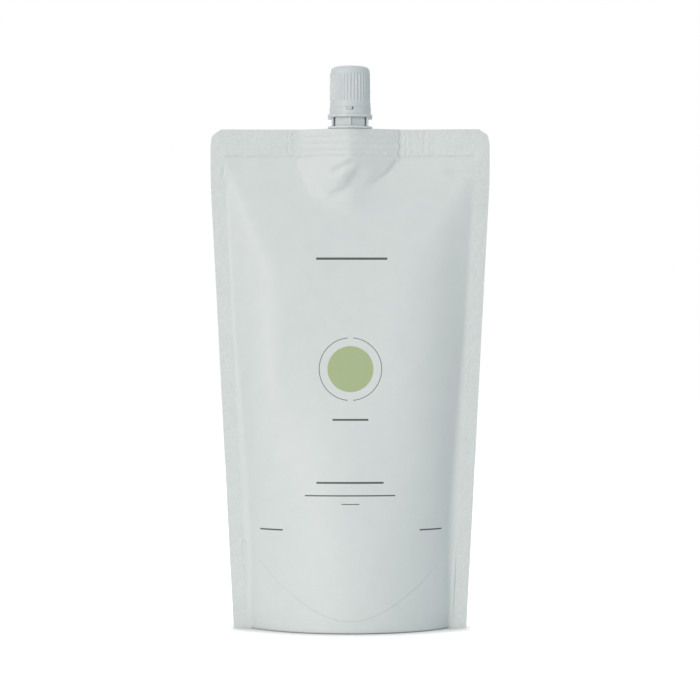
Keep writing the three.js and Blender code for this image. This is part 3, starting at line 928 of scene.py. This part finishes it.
def spout_shells():
    """Weld foot, flat-sided flanges, the rails between them, lugs and threaded neck."""
    heights = (LOWER_FLANGE[1] - OVERLAP, UPPER_FLANGE[0] + OVERLAP)
    block_heights = (UPPER_FLANGE[0] - WING_BLOCK_DROP, heights[1])
    web = (CORE_HALF - 2 * OVERLAP, POST_OUTSIDE - OVERLAP)
    post = (POST_OUTSIDE - POST_THICKNESS, POST_OUTSIDE)
    wing = (POST_OUTSIDE - OVERLAP, FLANGE_HALF)
    shells = [
        spout_tube(),
        weld_foot(),
        collar(LOWER_FLANGE[0] - GAP / 2, LOWER_FLANGE[1], flange_reach),
        collar(*heights, core_reach),
        collar(*UPPER_FLANGE, flange_reach),
    ]
    for sign in (-1, 1):
        shells += [
            neck_rib(sign, heights),
            rail(*web, WEB_DEPTH, heights, RAIL_EDGE, sign),
            rail(*post, POST_DEPTH, heights, POST_EDGE, sign),
            rail(*wing, WING_BLOCK_DEPTH, block_heights, RAIL_EDGE, sign),
            wing_tab(sign, -1, WING_DROP),
            wing_tab(sign, 1, WING_BLOCK_DROP),
            ratchet_lug(sign),
        ]
    return joined(*shells)


def band_shells():
    """Ring with a hooked lip under the bead and a window for each lug."""
    lip_top = BEAD_TOP - BEAD_HEIGHT - GAP
    corners = [
        (BAND_LIP, BAND_BOTTOM),
        (BAND_RADIUS, BAND_BOTTOM),
        (BAND_RADIUS, BAND_TOP),
        (SKIRT_INSIDE, BAND_TOP),
        (SKIRT_INSIDE, lip_top),
        (BAND_LIP, lip_top),
    ]
    floor = BAND_TOP - WINDOW_HEIGHT
    left, right = WINDOW_WIDTH / 2, WINDOW_WIDTH / 2 - WINDOW_SLANT

    def windowed(angle, radius, height):
        from_middle = (np.mod(angle, math.pi) - math.pi / 2) * radius
        up = np.clip((height - floor) / WINDOW_HEIGHT, 0, 1)
        cut = (from_middle > -left) & (from_middle < right + WINDOW_SLANT * up) & (height > floor)
        return radius, np.where(cut, floor, height)

    return turned(resampled(softened(corners, BAND_EDGE), BAND_STEP), BAND_SEGMENTS, windowed)


def cap_profile():
    """Half section of the cap, from the middle of its underside round to the middle of its crown."""
    shoulder_middle = GRIP_RADIUS - GRIP_DRAFT - SHOULDER
    corners = [
        (0.0, CROWN_UNDERSIDE),
        (CAP_INSIDE - CAP_CHAMFER, CROWN_UNDERSIDE),
        (CAP_INSIDE, CROWN_UNDERSIDE - CAP_CHAMFER),
        (CAP_INSIDE, SKIRT_TOP),
        (SKIRT_INSIDE, SKIRT_TOP - SKIRT_CHAMFER),
        (SKIRT_INSIDE, CAP_BOTTOM),
        (SKIRT_RADIUS, CAP_BOTTOM),
        (SKIRT_RADIUS - SKIRT_FLARE, SKIRT_TOP - SKIRT_STEP),
        (GRIP_FOOT, SKIRT_TOP + SKIRT_STEP),
        (GRIP_RADIUS - GRIP_DRAFT, SHOULDER_BOTTOM - SKIRT_STEP),
    ]
    shoulder = [
        np.array((shoulder_middle + SHOULDER * math.cos(t), SHOULDER_BOTTOM + SHOULDER * math.sin(t)))
        for t in np.linspace(0, math.pi / 2, CAP_ARC_POINTS)
    ]
    dome = [
        np.array((radius, CAP_TOP - CROWN_DOME * (radius / shoulder_middle) ** 2))
        for radius in np.linspace(shoulder_middle, 0, CAP_ARC_POINTS)[1:]
    ]
    return resampled([*softened(corners, CAP_EDGE, closed=False), *shoulder, *dome], CAP_STEP, closed=False)


def cap_shells():
    """Domed crown, grip ribs, plain skirt and the threaded inside."""

    def ribbed(angle, radius, height):
        turn = angle * GRIP_RIBS / (2 * math.pi) + 0.5
        groove = smooth(*GROOVE_FLANK, np.abs(turn - np.round(turn)))
        along = smooth(*GROOVE_START, height - GROOVE_LOW) * smooth(*GROOVE_END, GROOVE_HIGH - height)
        outside = radius > GRIP_RADIUS - GRIP_WALL
        cut = GROOVE_DEPTH * groove * along * outside
        up = height - SKIRT_TOP
        ridge = thread_ridge(angle, height, SKIRT_TOP, CAP_THREAD_FLANK)
        threaded = smooth(*CAP_THREAD_START, up) * smooth(*CAP_THREAD_END, up)
        inside = np.abs(radius - CAP_INSIDE) < ON_WALL
        return radius - cut - THREAD_HEIGHT * ridge * threaded * inside, height

    return turned(cap_profile(), GRIP_RIBS * RIB_SEGMENTS, ribbed, closed=False)


def liner_shells():
    """Soft disc with rounded edges."""
    radius = (liner_high[0] - liner_low[0]) / 2
    low, high = liner_low[2], liner_high[2]
    corners = [(0.0, low), (radius, low), (radius, high), (0.0, high)]
    return turned(softened(corners, LINER_EDGE, closed=False), LINER_SEGMENTS, closed=False)


class Nodes:
    """The node tree of a material or of the world, with short ways to add nodes."""

    def __init__(self, owner, shader="Principled BSDF"):
        owner.use_nodes = True
        self.owner = owner
        self.tree = owner.node_tree
        self.shader = self.tree.nodes[shader]

    def add(self, kind, **settings):
        node = self.tree.nodes.new(kind)
        for key, value in settings.items():
            setattr(node, key, value)
        return node

    def link(self, value, socket):
        if isinstance(value, bpy.types.NodeSocket):
            self.tree.links.new(value, socket)
        else:
            socket.default_value = value

    def fill(self, node, **values):
        """Links or sets a node's inputs by name, and gives its outputs."""
        for key, value in values.items():
            self.link(value, node.inputs[key.replace("_", " ")])
        return node.outputs

    def set(self, **values):
        self.fill(self.shader, **values)

    def math(self, operation, *values):
        node = self.add("ShaderNodeMath", operation=operation)
        for value, socket in zip(values, node.inputs):
            self.link(value, socket)
        return node.outputs[0]

    def product(self, first, *others):
        for other in others:
            first = self.math("MULTIPLY", first, other)
        return first

    def total(self, first, *others):
        for other in others:
            first = self.math("ADD", first, other)
        return first

    def distance(self, value, middle):
        return self.math("ABSOLUTE", self.math("SUBTRACT", value, middle))

    def ramp(self, value, low, high, out_low=0.0, out_high=1.0):
        node = self.add("ShaderNodeMapRange", clamp=True)
        for item, socket in zip((value, low, high, out_low, out_high), node.inputs):
            self.link(item, socket)
        return node.outputs[0]

    def noise(self, vector, scale, detail=3.0, roughness=0.5):
        node = self.add("ShaderNodeTexNoise")
        return self.fill(node, Vector=vector, Scale=scale, Detail=detail, Roughness=roughness)["Fac"]

    def mix(self, share, first, second):
        node = self.add("ShaderNodeMix", data_type="RGBA")
        self.link(share, node.inputs[0])
        self.link(first, node.inputs[6])
        self.link(second, node.inputs[7])
        return node.outputs[2]

    def patchy(self, cloud, colour):
        """A colour with slightly darker patches."""
        darker = tuple(PATCH_TONE * c for c in colour[:3]) + (1,)
        return self.mix(self.ramp(cloud, *CLOUD_RANGE), colour, darker)

    def place(self):
        return self.add("ShaderNodeTexCoord").outputs["Object"]

    def relief(self, height):
        """Bump from a height in millimetres."""
        node = self.add("ShaderNodeBump")
        self.set(Normal=self.fill(node, Height=height, Strength=1.0, Distance=MM)["Normal"])

    def seen(self):
        """1 on rays by which a thing is seen, also in a shine or through something clear."""
        rays = self.add("ShaderNodeLightPath").outputs
        either = self.math("MAXIMUM", rays["Is Camera Ray"], rays["Is Glossy Ray"])
        return self.math("MAXIMUM", either, rays["Is Transmission Ray"])


def stroke(nodes, distance, half):
    """1 within half of a line and 0 outside it, for a distance in millimetres."""
    return nodes.ramp(distance, half + PRINT_EDGE, half - PRINT_EDGE)


def rule(nodes, across, height, middle, at, length, thickness):
    """A plain level rule."""
    along = stroke(nodes, nodes.distance(across, middle), length / 2)
    return nodes.product(along, stroke(nodes, nodes.distance(height, at), thickness / 2))


def print_masks(nodes, across, height):
    """Green disc, and ink: two plain arcs round the disc, and plain level rules."""
    x = nodes.math("SUBTRACT", across, DISC_AT[0])
    y = nodes.math("SUBTRACT", height, DISC_AT[1])
    reach = nodes.math("SQRT", nodes.total(nodes.product(x, x), nodes.product(y, y)))
    disc = stroke(nodes, reach, DISC_RADIUS)
    ring = stroke(nodes, nodes.distance(reach, RING_RADIUS), RING_LINE / 2)
    ink = nodes.product(ring, nodes.ramp(nodes.math("ABSOLUTE", x), *RING_BREAK))
    for values in RULES:
        ink = nodes.math("MAXIMUM", ink, rule(nodes, across, height, *values))
    return disc, ink


def gusset_step(nodes, across, height):
    """Height of the small step where the film leaves the curved bottom seal, in millimetres."""
    squares = nodes.math("MULTIPLY_ADD", across, across, GUSSET_ROUND**2)
    lowest = gusset_seal(0) - GUSSET_SLOPE * GUSSET_ROUND
    seal = nodes.math("MULTIPLY_ADD", nodes.math("SQRT", squares), GUSSET_SLOPE, lowest)
    above = nodes.math("SUBTRACT", height, seal)
    step = nodes.ramp(above, -GUSSET_STEP_HALF, GUSSET_STEP_HALF, 0.0, GUSSET_STEP)
    return nodes.product(step, nodes.ramp(nodes.math("ABSOLUTE", across), *GUSSET_STEP_END))


def seal_stitch(nodes, past_side, past_top, pebble):
    """Depth of the broken line along the lower edge of the top seal, in millimetres."""
    line = nodes.ramp(nodes.math("ABSOLUTE", past_top), *STITCH_WIDTH, -STITCH_DEPTH, 0.0)
    in_film = nodes.ramp(past_side, 0.0, -SEAL_LINE_END)
    return nodes.product(line, in_film, nodes.ramp(pebble, *STITCH_BREAKS, STITCH_LEAST, 1.0))


def film_material():
    """Matt laminate: pale cool grey, faint grain, pebbled seals, and print on the front."""
    nodes = Nodes(bpy.data.materials.new("film"))
    spot = nodes.add("ShaderNodeAttribute", attribute_name="flat").outputs["Vector"]
    across, height, face = nodes.fill(nodes.add("ShaderNodeSeparateXYZ"), Vector=spot)
    past_side = nodes.math("SUBTRACT", nodes.math("ABSOLUTE", across), FILL_HALF)
    past_top = nodes.math("SUBTRACT", height, SEAL_BOTTOM)
    sealed = nodes.ramp(nodes.math("MAXIMUM", past_side, past_top), *PEBBLE_EDGE)
    grain = nodes.noise(spot, FILM_GRAIN, 4.0, 0.6)
    cloud = nodes.noise(spot, FILM_CLOUD)
    pebble = nodes.noise(spot, FILM_PEBBLE, 2.0)
    disc, ink = print_masks(nodes, across, height)
    front = nodes.ramp(face, *FRONT_FACE)
    with_disc = nodes.mix(nodes.product(disc, front), nodes.patchy(cloud, FILM_COLOUR), GREEN)
    with_ink = nodes.mix(nodes.product(ink, front), with_disc, INK)
    roughness = nodes.ramp(grain, *GRAIN_RANGE, *FILM_ROUGHNESS)
    nodes.set(Base_Color=with_ink, Roughness=roughness, Specular_IOR_Level=SHINE)
    fine = nodes.product(grain, FILM_GRAIN_DEPTH)
    pebbled = nodes.product(nodes.math("SUBTRACT", pebble, 0.5), sealed, PEBBLE_DEPTH)
    slack = nodes.product(cloud, FILM_CLOUD_DEPTH)
    stitch = seal_stitch(nodes, past_side, past_top, pebble)
    nodes.relief(nodes.total(fine, pebbled, slack, stitch, gusset_step(nodes, across, height)))
    return nodes.owner


def moulded_material():
    """Satin polyethylene with a faint spark-eroded grain."""
    nodes = Nodes(bpy.data.materials.new("moulded"))
    place = nodes.place()
    grain = nodes.noise(place, MOULDED_GRAIN, 2.0)
    cloud = nodes.noise(place, MOULDED_CLOUD, 2.0)
    roughness = nodes.ramp(grain, *GRAIN_RANGE, *MOULDED_ROUGHNESS)
    nodes.set(Base_Color=nodes.patchy(cloud, MOULDED_COLOUR), Roughness=roughness, Specular_IOR_Level=SHINE)
    nodes.set(Subsurface_Weight=GLOW, Subsurface_Scale=GLOW_DEPTH_M, Subsurface_Radius=WHITE[:3])
    nodes.relief(nodes.product(grain, MOULDED_GRAIN_DEPTH))
    return nodes.owner


def liner_material():
    """White closed-cell foam."""
    nodes = Nodes(bpy.data.materials.new("liner"))
    cells = nodes.add("ShaderNodeTexVoronoi")
    distance = nodes.fill(cells, Vector=nodes.place(), Scale=FOAM_CELLS)["Distance"]
    shade = nodes.ramp(distance, 0.0, FOAM_CELL_SIZE)
    nodes.set(Base_Color=nodes.mix(shade, FOAM_COLOUR, FOAM_SHADE), Roughness=FOAM_ROUGHNESS)
    nodes.relief(nodes.product(distance, FOAM_DEPTH))
    return nodes.owner


def add_object(name, data):
    """A new object in the scene."""
    thing = bpy.data.objects.new(name, data)
    bpy.context.collection.objects.link(thing)
    return thing


def make_piece(name, shell, material, body, node, flat=None):
    """A mesh piece that stands for a CAD node."""
    points, faces = shell
    mesh = bpy.data.meshes.new(name)
    mesh.from_pydata((points * MM).tolist(), [], faces)
    if flat is not None:
        layer = mesh.attributes.new("flat", "FLOAT_VECTOR", "POINT")
        layer.data.foreach_set("vector", flat.astype(np.float32).ravel())
    bm = bmesh.new()
    bm.from_mesh(mesh)
    bmesh.ops.remove_doubles(bm, verts=bm.verts, dist=MERGE_M)
    bmesh.ops.dissolve_degenerate(bm, edges=bm.edges, dist=FLAT_EDGE_M)
    bmesh.ops.recalc_face_normals(bm, faces=bm.faces)
    bm.to_mesh(mesh)
    bm.free()
    mesh.shade_smooth()
    mesh.set_sharp_from_angle(angle=SHADE_ANGLE)
    mesh.materials.append(material)
    piece = add_object(name, mesh)
    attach(piece, body)
    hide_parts(node)


def floor_material(name, brightness):
    """White floor: the camera sees it glow. Near the pack, painted shadow darkens both its glow and its
    colour, by how much the pack hides the open sky.
    """
    nodes = Nodes(bpy.data.materials.new(name))
    grain = nodes.noise(nodes.place(), FLOOR_GRAIN)
    shading = nodes.add("ShaderNodeAmbientOcclusion", samples=SHADE_RAYS)
    open_sky = nodes.fill(shading, Distance=SHADE_REACH_M)["AO"]
    # Painted shadow: the floor's colour goes darker where the pack hides the open sky
    painted_shadow_level = nodes.ramp(open_sky, 0.0, 1.0, PAINTED_SHADOW_TONE, 1.0)
    painted_shadow_colour = nodes.mix(painted_shadow_level, BLACK, (brightness, brightness, brightness, 1))
    roughness = nodes.ramp(grain, *CLOUD_RANGE, *FLOOR_ROUGHNESS)
    nodes.set(Base_Color=painted_shadow_colour, Roughness=roughness, Specular_IOR_Level=0.0)
    # Painted shadow on the glow too: it fades where the pack hides the open sky
    glow_under_painted_shadow = nodes.product(nodes.seen(), nodes.math("POWER", open_sky, PAINTED_SHADOW_POWER), FLOOR_GLOW)
    glow = nodes.fill(nodes.add("ShaderNodeEmission"), Strength=glow_under_painted_shadow)
    total = nodes.add("ShaderNodeAddShader")
    nodes.link(nodes.shader.outputs[0], total.inputs[0])
    nodes.link(glow[0], total.inputs[1])
    nodes.fill(nodes.tree.nodes["Material Output"], Surface=total.outputs[0])
    return nodes.owner


def make_floor():
    """A white sheet under the pack, on a wide pale floor."""
    add_plane("sheet", half=0.35, height=0.0, brightness=0.86)
    add_plane("floor", half=6.0, height=-0.0004, brightness=0.60)


def add_plane(name, half, height, brightness):
    """A level square of floor, in metres."""
    corners = [(-half, -half, height), (half, -half, height), (half, half, height), (-half, half, height)]
    mesh = bpy.data.meshes.new(name)
    mesh.from_pydata(corners, [], [(0, 1, 2, 3)])
    mesh.materials.append(floor_material(name, brightness))
    plane = add_object(name, mesh)


def make_world():
    """Even soft light from all round, and white where it is seen."""
    world = bpy.data.worlds.new("studio")
    bpy.context.scene.world = world
    nodes = Nodes(world, "Background")
    seen = nodes.seen()
    nodes.set(Strength=nodes.ramp(seen, 0.0, 1.0, FILL_LEVEL, 1.0), Color=nodes.mix(seen, FILL_TINT, WHITE))


def make_lamps():
    """A large soft lamp from the front left, a little above the pack, and a weaker one behind it."""
    add_lamp("key", place=(-0.90, -1.56, 0.45), size=0.9, power=12.9)
    add_lamp("back", place=(-0.30, 1.80, 0.60), size=0.6, power=8.3)


def add_lamp(name, place, size, power):
    """A square soft lamp that faces the middle of the pack, in metres and watts."""
    light = bpy.data.lights.new(name, "AREA")
    light.size = size
    light.energy = power
    light.color = LAMP_TINT
    lamp = add_object(name, light)
    lamp.location = place
    lamp.rotation_euler = (LAMP_AIM - lamp.location).to_track_quat("-Z", "Y").to_euler()


def make_camera():
    """Level camera in front, framed as in the photograph, in metres."""
    distance = 1.25
    frame_width = 0.3266
    eye_height = 0.1297
    camera = bpy.data.cameras.new("camera")
    camera.sensor_width = 36.0
    camera.lens = camera.sensor_width * distance / frame_width
    view = add_object("camera", camera)
    view.location = (0.0, -distance, eye_height)
    view.rotation_euler = (math.pi / 2, 0, 0)
    bpy.context.scene.camera = view


film = film_material()
moulded = moulded_material()
pouch_points, pouch_faces, pouch_flat = pouch_mesh()
make_piece("pouch_film", (pouch_points, pouch_faces), film, "pack", "pouch", pouch_flat)
make_piece("spout_moulding", spout_shells(), moulded, "pack", "spout")
make_piece("tamper_ring", band_shells(), moulded, "pack", "tamper_band")
make_piece("cap_moulding", cap_shells(), moulded, "cap", "cap")
make_piece("liner_disc", liner_shells(), liner_material(), "liner", "cap_liner")
make_floor()
make_world()
make_lamps()
make_camera()
bpy.context.scene.view_settings.view_transform = "Standard"
